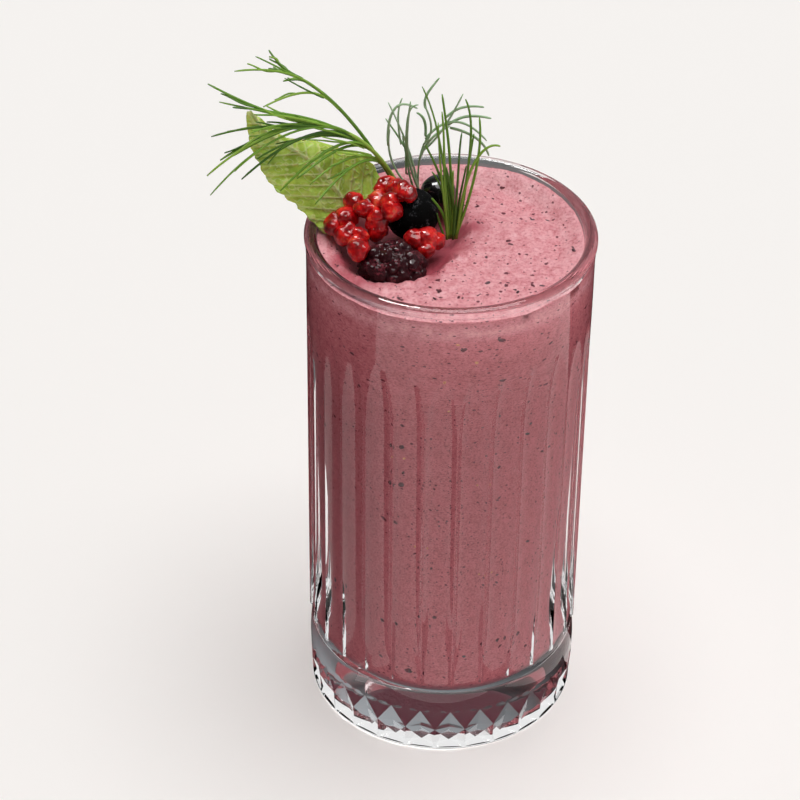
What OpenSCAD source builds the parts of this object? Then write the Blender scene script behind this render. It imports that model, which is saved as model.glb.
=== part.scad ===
// Berry smoothie in a fluted long-drink glass, garnished with berries, a mint leaf and dill.
// Millimetres, +Z up, origin at the centre of the glass's underside.

/* [Glass] */
// Height of the glass, floor to lip
glass_h = 152; // [148:1:158]
// Outside diameter at the lip
rim_d = 78; // [77:0.5:80]
// Outside diameter of the wall just above the foot
waist_d = 75; // [74:0.5:76]
// Thickness of the wall at the lip
lip_t = 3.4; // [3:0.1:3.8]
// Thickness of the solid base under the drink
base_t = 18; // [17:0.5:21]
// Inside diameter at the bottom of the drink
floor_d = 59; // [57:0.5:66]

/* [Flutes and foot] */
// Number of flutes round the wall, and of diamonds round the foot
flutes = 28; // [26:1:30]
// Depth of a flute between its two ridges
flute_depth = 1.4; // [0.6:0.1:1.6]
// Height of the ridges' lower ends
flute_low = 24.5; // [24:0.5:27]
// Height of the ridges' upper ends
flute_high = 127; // [115:1:132]
// Turn of the first ridge from the front
first_ridge = 4.7; // [0:0.1:12.8]
// Height of the diamond band's crease
foot_crease = 8.2; // [7.5:0.1:9]
// Half the height of a foot diamond
foot_half = 6.5; // [6:0.1:6.8]
// Depth of a foot diamond at its middle
foot_depth = 0.5; // [0.4:0.05:0.6]
// Lean of a foot diamond, its lower corner further in
foot_lean = 4; // [2:0.5:5]

/* [Drink] */
// Gap from the drink's edge up to the lip
headroom = 5; // [5:0.5:7]
// Rise of the drink's surface towards the middle
crown = 0.4; // [0.2:0.1:0.4]

/* [Berries] */
// Diameter of the large dark berry
large_d = 14; // [12:0.5:14]
// Diameter of the small dark berry
small_d = 9.8; // [8:0.2:9.8]
// Length of the bramble berry
bramble_l = 20; // [18:0.5:20]
// Thickness of the bramble berry
bramble_d = 15; // [14:0.5:15]
// Depth of the furrows between the bramble berry's lobes
bramble_relief = 1.3; // [0.8:0.1:1.6]

/* [Herbs] */
// Thickness of the mint leaf
leaf_t = 0.6; // [0.5:0.1:0.8]
// Length of the mint leaf
leaf_l = 41; // [38:1:42]
// Radius of a dill stem
stem_r = 0.75; // [0.6:0.05:0.9]
// Radius of a dill needle at its tip
needle_r = 0.3; // [0.25:0.05:0.4]

/* [Hidden] */
$fn = 96;

pitch = 360 / flutes;
rim_r = rim_d / 2;
waist_r = waist_d / 2;
foot_r = waist_r + 0.37;        // the foot stands a little proud of the wall
foot_top = foot_crease + foot_half + 0.3;
lip_r = lip_t / 2;
level = glass_h - headroom;
inner_rim_r = rim_r - lip_t;
floor_round = 3.5;                // radius between the cavity's floor and its wall
flute_half = waist_r * sin(pitch * 0.44);    // leaves a narrow land between two flutes
flute_r = (pow(flute_half, 2) + pow(flute_depth, 2)) / (2 * flute_depth);

// places of the garnish, measured from the centre of the drink's edge plane
hollow_at = [-12, 0, 27];       // centre of the ball that forms the hollow
hollow_r = 13;                  // radius of the hollow at the drink's surface
pocket_r = bramble_d / 2 + 0.2;
pocket_reach = bramble_l / 2 - 7.5;
bramble_at = [-15.2, -10.2, -1];
large_at = [-10.5, 6.3, 5.3];
small_at = [-3.7, 17.3, 5];
leaf_base = [-31.9, 0.2, 1];
leaf_dir = [-0.523, 0.19, 0.831];
leaf_side = [0.671, 0.693, 0.264];

// raspberry pieces as drupelets: centre and radius
piece_1 = [[-17.3, 10.1, 11, 2.6], [-15, 7.2, 12.6, 2.2], [-13.1, 4.2, 13.6, 2], [-11.2, 2.8, 13.6, 1.3]];
piece_2 = [[-25.6, 5.1, 9, 2.1], [-22.7, 2.7, 9, 2.4], [-19.8, 4.2, 10.4, 2.4], [-16.4, 2.2, 11.6, 1.8],
           [-15.8, 0, 10, 2.1], [-19.6, 0, 7.2, 2.6], [-19.4, -1.2, 4.4, 2.2]];
piece_3 = [[-31.2, 0.6, 5.5, 2.1], [-28, 1.7, 6, 2.6], [-27.8, -2.4, 4, 2.4], [-24.4, -3, 3.4, 2.3],
           [-24.4, -6.6, 3.6, 2.2], [-24, -10.6, 4.8, 2.3]];
piece_4 = [[-9.4, -3.2, 3.8, 2.2], [-6.4, -3, 3.8, 2.4], [-6.8, -4.8, 1.4, 1.9], [-3.4, -2.2, 2.4, 1.7]];

// dill: stems as start, control and end points, needles as [place along the stem, tip]
left_main = [[-12, 20, -1], [-21, 14, 26], [-34, 8, 31]];
left_high = [[-12.5, 20.5, -0.5], [-32, 9, 45], [-46, 19, 41]];
left_needles = [[0.98, [-64, 6, 44]], [0.92, [-61, 4, 40]], [0.86, [-52, 5, 38]], [0.95, [-63, 2, 30]],
                [0.83, [-61, 0, 25]], [0.89, [-64, -2, 21]], [0.8, [-63, -4, 16]], [0.74, [-58, 0, 26]],
                [0.4, [-41, 0, 20]], [0.33, [-37, -1, 18]], [0.5, [-44, 5, 27]], [0.58, [-51, 0, 25]]];
high_needles = [[0.85, [-49, 21, 46]], [0.79, [-49, 18, 42]], [0.72, [-45, 15, 40]]];
back_stem = [[-9, 24, -1], [-9, 22, 10], [-8, 22, 17]];
back_needles = [[0.5, [-17, 24, 22]], [0.56, [-17, 20, 25]], [0.62, [-17, 22, 30]], [0.68, [-11, 22, 31]],
                [0.97, [-4, 26, 34]], [0.93, [3, 26, 31]], [0.89, [9, 28, 26]], [0.85, [10, 28, 22]],
                [0.81, [9, 26, 16]], [0.77, [10, 24, 13]], [0.73, [-12, 24, 27]]];
front_stem = [[0, 2.5, -1], [0, 3, 4], [0, 4, 9]];
front_needles = [[0.95, [-8, 8, 43]], [0.89, [-2, 10, 37]], [0.83, [3, 10, 37]], [0.77, [-6, 4, 26]],
                 [0.71, [7, 12, 30]], [0.65, [13, 10, 24]], [0.59, [6, 10, 24]], [0.53, [-5, 0, 20]],
                 [0.47, [-5, 0, 12]], [0.4, [5, 4, 10]]];

// ---- outlines and curves ----

// wall radius outside at height z, straight from the waist to the lip
function wall_at(z) = waist_r + (rim_r - 0.5 - waist_r) * (z - foot_top) / (glass_h - foot_top);

// cavity radius at height z, straight from the floor to the lip
function cavity_at(z) = floor_d / 2 + (inner_rim_r - floor_d / 2) * (z - base_t) / (glass_h - base_t);

// points of a circular arc, angles in degrees
function arc(cx, cy, r, from, to, steps = 8) =
    [for (i = [0 : steps]) let (a = from + (to - from) * i / steps) [cx + r * cos(a), cy + r * sin(a)]];

// quadratic curve through its start and end, drawn towards its control point
function curve_point(c, t) = (1 - t) * (1 - t) * c[0] + 2 * t * (1 - t) * c[1] + t * t * c[2];
function curve_slope(c, t) = 2 * (1 - t) * (c[1] - c[0]) + 2 * t * (c[2] - c[1]);
function unit(v) = v / norm(v);

// a needle leaves its stem along the stem's own direction and bends over to its tip
function needle_curve(stem, place, tip) =
    let (start = curve_point(stem, place))
    [start, start + unit(curve_slope(stem, place)) * 0.4 * norm(tip - start), tip];

// ---- building blocks ----

// tapered round strand along a quadratic curve
module strand(c, r_start, r_end, steps = 6, sides = 5) {
    aside = [0.25, 1, 0.15];
    points = [for (i = [0 : steps], k = [0 : sides - 1])
        let (t = i / steps, along = unit(curve_slope(c, t)),
             u = unit(cross(along, aside)), v = cross(along, u), a = 360 * k / sides,
             r = r_start + (r_end - r_start) * t)
        curve_point(c, t) + r * (cos(a) * u + sin(a) * v)];
    sides_faces = [for (i = [0 : steps - 1], k = [0 : sides - 1])
        let (a = i * sides + k, b = i * sides + (k + 1) % sides) [a, a + sides, b + sides, b]];
    caps = [[for (k = [0 : sides - 1]) k], [for (k = [sides - 1 : -1 : 0]) steps * sides + k]];
    polyhedron(points, concat(sides_faces, caps));
}

module needles(stem, list) {
    for (n = list)
        strand(needle_curve(stem, n[0], n[1]), stem_r * 0.7, needle_r);
}

module drupelets(list) {
    for (d = list)
        translate([d[0], d[1], d[2]]) sphere(r = d[3], $fn = 12);
}

// one flute: a round scoop that follows the wall, with rounded ends
module flute() {
    lean = atan2(wall_at(flute_high) - wall_at(flute_low), flute_high - flute_low);
    reach = flute_high - flute_low - 6;
    translate([wall_at(flute_low) + flute_r - flute_depth, 0, flute_low + 3])
        rotate([0, lean, 0]) {
            cylinder(r = flute_r, h = reach);
            sphere(r = flute_r);
            translate([0, 0, reach]) sphere(r = flute_r);
        }
}

// one foot diamond: a flat facet sunk into the foot, deeper at its lower corner
module foot_diamond() {
    half_w = foot_r * tan(pitch / 2) * 0.9;
    translate([foot_r - foot_depth, 0, foot_crease])
        rotate([0, foot_lean, 0])
            rotate([90, 0, 90])
                linear_extrude(3)
                    polygon([[half_w, 0], [0, foot_half], [-half_w, 0], [0, -foot_half]]);
}

module cavity(top) {
    r_top = cavity_at(top);
    rotate_extrude()
        polygon(concat([[0, base_t]],
            arc(cavity_at(base_t + floor_round) - floor_round, base_t + floor_round, floor_round, -90, 0),
            [[r_top, top], [0, top]]));
}

// ---- the pieces ----

module glass() {
    color([0.86, 0.9, 0.92, 0.4])
        difference() {
            rotate_extrude()
                polygon(concat([[0, 0]], arc(foot_r - 1, 0.6, 0.6, -90, 0, 4),
                    [[foot_r, foot_top - 0.4], [wall_at(foot_top + 1), foot_top + 1]],
                    [[wall_at(glass_h - 6), glass_h - 6]],
                    arc(rim_r - lip_r, glass_h - lip_r, lip_r, 0, 90), [[0, glass_h]]));
            cavity(level);
            rotate_extrude()
                polygon(concat([[0, level - 1], [cavity_at(level - 1), level - 1]],
                    [[cavity_at(level), level]],
                    [for (p = arc(rim_r - lip_r, glass_h - lip_r, lip_r, 180, 90)) p],
                    [[rim_r - lip_r, glass_h + 1], [0, glass_h + 1]]));
            for (i = [0 : flutes - 1])
                rotate([0, 0, first_ridge - 90 + (i + 0.5) * pitch]) flute();
            for (i = [0 : flutes - 1])
                rotate([0, 0, first_ridge - 90 + i * pitch]) foot_diamond();
        }
}

module smoothie() {
    color([0.79, 0.42, 0.5])
        difference() {
            union() {
                cavity(level);
                translate([0, 0, level])
                    cylinder(h = crown, r1 = cavity_at(level), r2 = cavity_at(level) - 9);
            }
            translate([0, 0, level]) {
                // wide shallow hollow under the berries, and the pockets they have sunk into
                translate(hollow_at) sphere(r = norm([hollow_r, hollow_at.z]));
                translate(bramble_at) rotate([0, 90, 0]) {
                    cylinder(r = pocket_r, h = 2 * pocket_reach, center = true);
                    for (end = [-1, 1])
                        translate([0, 0, end * pocket_reach]) sphere(r = pocket_r);
                }
                translate(large_at) sphere(r = large_d / 2 + 0.2);
                // sockets of the dill stems
                for (stem = [left_main, back_stem, front_stem])
                    translate([stem[0].x, stem[0].y, -1.5]) cylinder(r = stem_r + 0.6, h = 3);
            }
        }
}

// lobed berry on its side: an egg shape whose radius swells in staggered rows of lobes
module bramble_berry() {
    rows = 6;
    lobes = 8;
    steps = 24;
    turns = 32;
    points = [for (i = [1 : steps - 1], k = [0 : turns - 1])
        let (a = 180 * i / steps, b = 360 * k / turns, row = floor(rows * (a - 0.01) / 180),
             swell = sqrt(abs(sin(rows * a)) * abs(sin(lobes * b / 2 + 90 * (row % 2)))),
             r = bramble_d / 2 - bramble_relief * (1 - swell))
        [-bramble_l / 2 * cos(a) * r / (bramble_d / 2), r * sin(a) * cos(b), r * sin(a) * sin(b)]];
    ends = [[-bramble_l / 2 + bramble_relief, 0, 0], [bramble_l / 2 - bramble_relief, 0, 0]];
    first = len(points);
    bands = [for (i = [0 : steps - 3], k = [0 : turns - 1])
        let (a = i * turns + k, b = i * turns + (k + 1) % turns) each [[a, b, b + turns], [a, b + turns, a + turns]]];
    caps = [for (k = [0 : turns - 1]) let (n = (k + 1) % turns, last = (steps - 2) * turns)
        each [[first, n, k], [first + 1, last + k, last + n]]];
    color([0.16, 0.07, 0.09])
        translate([0, 0, level] + bramble_at)
            polyhedron(concat(points, ends), concat(bands, caps));
}

module dark_berry_large() {
    color([0.09, 0.09, 0.12])
        translate([0, 0, level] + large_at)
            difference() {
                sphere(d = large_d);
                // crown scar on the underside
                rotate([160, 0, 0]) translate([0, 0, large_d / 2 - 0.7]) cylinder(r = 2, h = 2);
            }
}

module dark_berry_small() {
    color([0.07, 0.05, 0.07])
        translate([0, 0, level] + small_at)
            union() {
                sphere(d = small_d);
                // dried flower end at the back
                rotate([-75, 0, 0]) translate([0, 0, small_d / 2 - 0.2]) cylinder(r1 = 0.9, r2 = 0.6, h = 0.7);
            }
}

module raspberry_piece_1() {
    color([0.75, 0.09, 0.09]) translate([0, 0, level]) drupelets(piece_1);
}

module raspberry_piece_2() {
    color([0.75, 0.09, 0.09]) translate([0, 0, level]) drupelets(piece_2);
}

module raspberry_piece_3() {
    color([0.78, 0.12, 0.1]) translate([0, 0, level]) drupelets(piece_3);
}

module raspberry_piece_4() {
    color([0.8, 0.12, 0.1]) translate([0, 0, level]) drupelets(piece_4);
}

// curved blade: the midrib swings sideways along the leaf, the halves widen and close to the tip
module mint_leaf() {
    steps = 20;
    across = 8;
    midrib = [[0, 10], [0.3, 9], [0.5, 6.8], [0.8, 1.2], [1, 0]];
    left_half = [[0, 8.5], [0.05, 10.5], [0.3, 10.8], [0.47, 12], [0.6, 10.5], [0.8, 5.8], [0.95, 1.8], [1, 0.2]];
    right_half = [[0, 11.5], [0.15, 13.4], [0.3, 12.2], [0.42, 9], [0.56, 6.5], [0.7, 2.4], [0.9, 1.6], [1, 0.2]];
    normal = cross(leaf_dir, leaf_side);
    function spot(i, k, side) =
        let (u = i / steps, w = 2 * k / across - 1,
             reach = w < 0 ? w * lookup(u, left_half) : w * lookup(u, right_half),
             lift = 1.2 * w * w + 0.3 * sin(540 * u) * w * w)
        leaf_base + leaf_l * u * leaf_dir + (lookup(u, midrib) + reach) * leaf_side
            + (lift + side * leaf_t / 2) * normal;
    count = (steps + 1) * (across + 1);
    points = [for (side = [-1, 1], i = [0 : steps], k = [0 : across]) spot(i, k, side)];
    function at(layer, i, k) = layer * count + i * (across + 1) + k;
    sheets = [for (i = [0 : steps - 1], k = [0 : across - 1]) each [
        [at(1, i, k), at(1, i, k + 1), at(1, i + 1, k + 1)], [at(1, i, k), at(1, i + 1, k + 1), at(1, i + 1, k)],
        [at(0, i, k), at(0, i + 1, k + 1), at(0, i, k + 1)], [at(0, i, k), at(0, i + 1, k), at(0, i + 1, k + 1)]]];
    long_edges = [for (i = [0 : steps - 1]) each [
        [at(0, i, 0), at(1, i, 0), at(1, i + 1, 0)], [at(0, i, 0), at(1, i + 1, 0), at(0, i + 1, 0)],
        [at(0, i, across), at(1, i + 1, across), at(1, i, across)],
        [at(0, i, across), at(0, i + 1, across), at(1, i + 1, across)]]];
    end_edges = [for (k = [0 : across - 1]) each [
        [at(0, 0, k), at(1, 0, k + 1), at(1, 0, k)], [at(0, 0, k), at(0, 0, k + 1), at(1, 0, k + 1)],
        [at(0, steps, k), at(1, steps, k), at(1, steps, k + 1)],
        [at(0, steps, k), at(1, steps, k + 1), at(0, steps, k + 1)]]];
    color([0.62, 0.72, 0.32])
        translate([0, 0, level]) polyhedron(points, concat(sheets, long_edges, end_edges));
}

module dill_sprig_left() {
    color([0.3, 0.48, 0.16])
        translate([0, 0, level]) {
            strand(left_main, stem_r, stem_r * 0.7, 10);
            strand(left_high, stem_r, stem_r * 0.6, 10);
            needles(left_main, left_needles);
            needles(left_high, high_needles);
        }
}

module dill_sprig_back() {
    color([0.3, 0.48, 0.2])
        translate([0, 0, level]) {
            strand(back_stem, stem_r, stem_r * 0.7, 8);
            needles(back_stem, back_needles);
        }
}

module dill_sprig_front() {
    color([0.28, 0.46, 0.14])
        translate([0, 0, level]) {
            strand(front_stem, stem_r, stem_r * 0.8);
            needles(front_stem, front_needles);
        }
}

glass();
smoothie();
bramble_berry();
dark_berry_large();
dark_berry_small();
raspberry_piece_1();
raspberry_piece_2();
raspberry_piece_3();
raspberry_piece_4();
mint_leaf();
dill_sprig_left();
dill_sprig_back();
dill_sprig_front();
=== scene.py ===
# %% [markdown]
# # Berry smoothie in a fluted glass
# A thick pink drink fills a pressed tumbler to just under its lip. Berries, a mint leaf and dill sit on it.
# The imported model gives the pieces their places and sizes. Here each one gets its real surface, from meshes
# worked out with numpy and materials built from nodes. Lengths are in millimetres until a mesh is made.

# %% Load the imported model
import math
import bpy
import numpy as np
from mathutils import Matrix, Vector


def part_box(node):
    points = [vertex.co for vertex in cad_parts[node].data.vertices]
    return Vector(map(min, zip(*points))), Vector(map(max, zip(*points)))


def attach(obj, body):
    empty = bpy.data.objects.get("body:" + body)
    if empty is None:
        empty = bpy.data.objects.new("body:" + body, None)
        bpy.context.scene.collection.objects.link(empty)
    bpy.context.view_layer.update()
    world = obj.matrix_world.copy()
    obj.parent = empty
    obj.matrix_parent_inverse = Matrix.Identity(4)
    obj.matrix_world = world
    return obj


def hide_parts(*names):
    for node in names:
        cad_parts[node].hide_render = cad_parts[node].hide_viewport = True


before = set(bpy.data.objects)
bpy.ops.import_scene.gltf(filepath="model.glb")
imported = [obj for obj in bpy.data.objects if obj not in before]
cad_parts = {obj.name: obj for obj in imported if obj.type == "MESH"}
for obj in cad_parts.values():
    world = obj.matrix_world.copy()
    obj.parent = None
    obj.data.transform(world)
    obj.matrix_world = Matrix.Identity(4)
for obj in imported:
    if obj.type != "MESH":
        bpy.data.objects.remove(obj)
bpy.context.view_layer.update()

MM = 0.001
print("nodes:", sorted(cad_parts))

# %% [markdown]
# ## Sizes
# The glass's height and width come from its own node's box, and the drink's level from the drink's box.
# The inside of the glass can't be read off a box, so its floor has numbers of its own.

# %% Sizes of the glass and the drink


def node_box(name):
    """Lowest and highest corner of a node, in millimetres."""
    low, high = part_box(name)
    return np.array(low) / MM, np.array(high) / MM


glass_low, glass_high = node_box("glass")
GLASS_H = glass_high[2]
RIM_R = (glass_high[0] - glass_low[0]) / 2
CROWN = 0.4  # rise of the drink's surface towards the middle
LEVEL = node_box("smoothie")[1][2] - CROWN
FLUTES = 28
HALF_PITCH = math.pi / FLUTES
FIRST_RIDGE = math.radians(4.7)  # turn of the first ridge from the front
WAIST_R = RIM_R - 1.5  # wall radius just above the foot
FOOT_R = WAIST_R + 0.37  # radius of the foot at the tips of its diamonds
LIP_R = 1.7  # half the lip's thickness
FLOOR_Z = 17.0  # inside floor under the drink
FLOOR_R = 28.0  # radius of the inside at the floor, before it is drawn in
FLOOR_ROUND = 3.5  # fillet between floor and wall inside
INNER_RIM_R = RIM_R - 2 * LIP_R

print(f"glass {GLASS_H:.1f} high, lip radius {RIM_R:.1f}, drink up to {LEVEL:.1f}")

# %% [markdown]
# ## Meshes from grids
# Nearly every piece is a sheet of points in rows and columns. One helper numbers the quads of such a grid,
# another closes its ends, and a third makes the object, hangs it on the root body and hides the nodes it
# replaces.

# %% Grid helpers


def grid_quads(rows, cols, wrap=True, start=0):
    """Quads of a grid numbered row by row; wrap joins the last column to the first."""
    index = start + np.arange(rows * cols).reshape(rows, cols)
    right = np.roll(index, -1, axis=1)
    quads = np.stack([index[:-1], right[:-1], right[1:], index[1:]], axis=-1)
    if not wrap:
        quads = quads[:, :-1]
    return quads.reshape(-1, 4)


def fan(ring, tip, flip=False):
    """Triangles from every edge of a closed ring of point numbers to one tip."""
    after = np.roll(ring, -1)
    order = (after, ring) if flip else (ring, after)
    return np.stack([*order, np.full(len(ring), tip)], axis=-1)


def closed_grid(grid, low_tip=None, high_tip=None):
    """Points and faces of a wrapped grid whose first and last rows are closed with a point each."""
    rows, cols = grid.shape[:2]
    low_tip = grid[0].mean(axis=0) if low_tip is None else low_tip
    high_tip = grid[-1].mean(axis=0) if high_tip is None else high_tip
    points = np.vstack([grid.reshape(-1, 3), low_tip, high_tip])
    ring = np.arange(cols)
    count = rows * cols
    faces = grid_quads(rows, cols).tolist()
    faces += fan(ring, count, flip=True).tolist()
    faces += fan(ring + count - cols, count + 1).tolist()
    return points, faces


def add_mesh(name, points, faces, material, sharp_deg=None):
    """Smooth-shaded mesh object at the origin, from points in millimetres."""
    mesh = bpy.data.meshes.new(name)
    mesh.from_pydata((np.asarray(points) * MM).tolist(), [], faces)
    mesh.polygons.foreach_set("use_smooth", np.ones(len(mesh.polygons), bool))
    if sharp_deg is not None:
        mesh.set_sharp_from_angle(angle=math.radians(sharp_deg))
    mesh.materials.append(material)
    obj = bpy.data.objects.new(name, mesh)
    bpy.context.scene.collection.objects.link(obj)
    return obj


def add_piece(name, points, faces, material, slot, nodes=(), sharp_deg=None):
    """A mesh that rides on the root body and stands for the nodes it replaces."""
    obj = add_mesh(name, points, faces, material, sharp_deg)
    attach(obj, "root")
    if nodes:
        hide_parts(*nodes)
    print(f"{name}: {len(obj.data.polygons)} faces")
    return obj


def store(obj, name, values):
    """A number for each point of a piece, which its material reads by name."""
    attribute = obj.data.attributes.new(name, "FLOAT", "POINT")
    attribute.data.foreach_set("value", np.ravel(values).astype(np.float32))


def around(radius, angle, z):
    """Points at a radius and an angle from the front towards +X."""
    return np.stack([radius * np.sin(angle), -radius * np.cos(angle), z + 0 * angle], axis=-1)


# %% [markdown]
# ## Smooth random relief
# Food is uneven. A lattice of random numbers, blended smoothly between its corners, gives a gentle relief
# of any scale, the same every time because it is seeded.

# %% Value noise


def lattice_noise(x, y, z, scale, seed):
    """Random values at whole steps of scale, blended by 3t^2-2t^3 along each axis; about -1 to 1."""
    table = np.random.default_rng(seed).uniform(-1, 1, (32, 32, 32))
    place = np.stack(np.broadcast_arrays(x, y, z), axis=-1) / scale
    cell = np.floor(place).astype(int)
    t = place - cell
    t = t * t * (3 - 2 * t)
    total = 0
    for corner in np.ndindex(2, 2, 2):
        index = (cell + corner) % 32
        weight = np.prod(np.where(corner, t, 1 - t), axis=-1)
        total = total + weight * table[index[..., 0], index[..., 1], index[..., 2]]
    return total


def smoothstep(low, high, value):
    """0 below low, 1 above high and an s-curve between."""
    t = np.clip((value - low) / (high - low), 0, 1)
    return t * t * (3 - 2 * t)


# %% [markdown]
# ## Material helpers
# A material is a graph of nodes. These helpers keep each recipe short: a shader with its fixed values on
# its own sockets, a stored number, a noise, a ramp or mix of colours, and a bump.

# %% Node helpers


def new_material(name):
    """Empty node material with its output; returns the material, its tree and the output node."""
    material = bpy.data.materials.new(name)
    material.use_nodes = True
    tree = material.node_tree
    tree.nodes.clear()
    return material, tree, tree.nodes.new("ShaderNodeOutputMaterial")


def join(tree, value, socket):
    """Link an output to a socket, or set the socket to a fixed value."""
    if isinstance(value, bpy.types.NodeSocket):
        tree.links.new(value, socket)
    elif isinstance(value, tuple):
        socket.default_value = (*value, 1)
    else:
        socket.default_value = value


def principled(tree, output, **values):
    """Principled shader joined to the output; each value is fixed on its own socket or linked to it."""
    shader = tree.nodes.new("ShaderNodeBsdfPrincipled")
    for key, value in values.items():
        join(tree, value, shader.inputs[key.replace("_", " ")])
    tree.links.new(shader.outputs["BSDF"], output.inputs["Surface"])
    return shader


def object_coords(tree, scale=(1, 1, 1)):
    """Object coordinates, stretched by scale."""
    coords = tree.nodes.new("ShaderNodeTexCoord")
    mapping = tree.nodes.new("ShaderNodeMapping")
    mapping.inputs["Scale"].default_value = scale
    tree.links.new(coords.outputs["Object"], mapping.inputs["Vector"])
    return mapping.outputs["Vector"]


def noise(tree, vector, size_mm, detail=2.0, rough=0.5):
    """Noise whose features are about size_mm wide."""
    node = tree.nodes.new("ShaderNodeTexNoise")
    node.inputs["Scale"].default_value = 1 / (size_mm * MM)
    node.inputs["Detail"].default_value = detail
    node.inputs["Roughness"].default_value = rough
    tree.links.new(vector, node.inputs["Vector"])
    return node.outputs["Fac"]


def ramp(tree, factor, *stops):
    """Colour ramp of (position, colour) stops."""
    node = tree.nodes.new("ShaderNodeValToRGB")
    elements = node.color_ramp.elements
    while len(elements) < len(stops):
        elements.new(0.5)
    for element, (position, colour) in zip(elements, stops):
        element.position = position
        element.color = (*colour, 1)
    tree.links.new(factor, node.inputs["Fac"])
    return node.outputs["Color"]


def stored(tree, name):
    """The number stored on the points under a name."""
    node = tree.nodes.new("ShaderNodeAttribute")
    node.attribute_name = name
    return node.outputs["Fac"]


def mix_colour(tree, factor, first, second):
    """Mix of two colours by a factor, each an output or fixed."""
    node = tree.nodes.new("ShaderNodeMix")
    node.data_type = "RGBA"
    for name, value in (("Factor", factor), ("A", first), ("B", second)):
        join(tree, value, node.inputs[name])
    return node.outputs["Result"]


def bump(tree, shader, height, depth_mm, strength=1.0):
    """Bump of a real depth on the shader's normal."""
    node = tree.nodes.new("ShaderNodeBump")
    node.inputs["Strength"].default_value = strength
    node.inputs["Distance"].default_value = depth_mm * MM
    tree.links.new(height, node.inputs["Height"])
    tree.links.new(node.outputs["Normal"], shader.inputs["Normal"])


# %% [markdown]
# ## Camera
# The view looks down at the glass from the front through a long lens. The camera aims at the glass's
# middle, then pans and tilts a little, so that the glass stands right of and below the frame's middle.

# %% Camera
AIM = Vector((0, 0, 75 * MM))
DISTANCE = 881 * MM
ELEVATION = math.radians(37.25)
PAN = math.tan(math.radians(0.852))
TILT = math.tan(math.radians(1.075))
ROLL = math.radians(0.777)

look = Vector((0, math.cos(ELEVATION), -math.sin(ELEVATION)))
above = Vector((0, math.sin(ELEVATION), math.cos(ELEVATION)))
place = AIM - look * DISTANCE
forward = (look - PAN * Vector((1, 0, 0)) + TILT * above).normalized()
right = forward.cross(Vector((0, 0, 1))).normalized()
up = right.cross(forward)
rolled_right = right * math.cos(ROLL) + up * math.sin(ROLL)
rolled_up = up * math.cos(ROLL) - right * math.sin(ROLL)
axes = Matrix((rolled_right, rolled_up, -forward)).transposed()

lens = bpy.data.cameras.new("camera")
lens.lens = 142
lens.sensor_width = 36
camera = bpy.data.objects.new("camera", lens)
camera.matrix_world = Matrix.Translation(place) @ axes.to_4x4()
bpy.context.scene.collection.objects.link(camera)
bpy.context.scene.camera = camera
print("camera at", [round(v, 4) for v in place])

# %% [markdown]
# ## Studio
# A pale floor, a soft light overhead and a grey room. The light is a sun with a very wide disc, so the
# floor is lit evenly and shadows stay soft. The room is brighter on one side, so the drink has a darker one.

# %% Floor and lights
FLOOR_COLOUR = (0.97, 0.935, 0.905)
FLOOR_HALF = 6000  # half the floor's width

floor_material, tree, output = new_material("studio_floor")
principled(tree, output, Base_Color=FLOOR_COLOUR, Roughness=1.0, Specular_IOR_Level=0.0)
floor_corners = [(-1, -1), (1, -1), (1, 1), (-1, 1)]
floor = add_mesh("floor", [(x * FLOOR_HALF, y * FLOOR_HALF, -0.2) for x, y in floor_corners],
                 [[0, 1, 2, 3]], floor_material)

ROOM_TINT = np.array([0.88, 0.95, 1.0])
# Each level is the height of a direction and its brightness.
ROOM_LEVELS = ((0.0, 0.85), (0.35, 0.75), (0.58, 0.55), (0.72, 0.1))
world = bpy.data.worlds.new("room")
bpy.context.scene.world = world
world.use_nodes = True
room_tree = world.node_tree
room = room_tree.nodes["Background"]
room_coords = room_tree.nodes.new("ShaderNodeTexCoord").outputs["Generated"]
room_axes = room_tree.nodes.new("ShaderNodeSeparateXYZ")
room_tree.links.new(room_coords, room_axes.inputs[0])
room_stops = [(height, tuple(level * ROOM_TINT)) for height, level in ROOM_LEVELS] + [(1.0, (1, 1, 1))]
room_tree.links.new(ramp(room_tree, room_axes.outputs["Z"], *room_stops), room.inputs["Color"])
room_side = room_tree.nodes.new("ShaderNodeVectorMath")
room_side.operation = "DOT_PRODUCT"
room_side.inputs[1].default_value = (0.9, 0.4, 0)  # the room's bright side
room_tree.links.new(room_coords, room_side.inputs[0])
room_strength = room_tree.nodes.new("ShaderNodeMapRange")
for key, value in {"From Min": -0.5, "From Max": 0.6, "To Min": 0.05, "To Max": 0.6}.items():
    room_strength.inputs[key].default_value = value
room_tree.links.new(room_side.outputs["Value"], room_strength.inputs["Value"])
room_tree.links.new(room_strength.outputs["Result"], room.inputs["Strength"])

sky = bpy.data.lights.new("overhead", "SUN")
sky.energy = 2.47
sky.angle = math.radians(50)
overhead = bpy.data.objects.new("overhead", sky)
overhead.rotation_euler = Vector((0.08, 0.0, 0.98)).to_track_quat("Z", "Y").to_euler()
bpy.context.scene.collection.objects.link(overhead)
bpy.context.scene.view_settings.view_transform = "Standard"
print("floor, room and overhead light ready")

# %% [markdown]
# ### Cards
# Glass shows what stands round it. These cards are out of the camera's sight. Black ones on the floor and a
# bright window show in reflections. A grey one and a bright square show only through the glass.

# %% Cards


def unlit(name, strength):
    """Plain emission; strength 0 is a black card."""
    material, tree, output = new_material(name)
    glow = tree.nodes.new("ShaderNodeEmission")
    glow.inputs["Strength"].default_value = strength
    tree.links.new(glow.outputs[0], output.inputs["Surface"])
    return material


def card(name, corners, strength, faces=None, through=False):
    """Studio card hidden from the camera; it shows in reflections, or only through the glass."""
    obj = add_mesh(name, corners, faces or [list(range(len(corners)))], unlit(name, strength))
    obj.visible_camera = False
    obj.visible_transmission = through
    obj.visible_glossy = not through
    obj.visible_shadow = False
    obj.visible_diffuse = False


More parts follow.
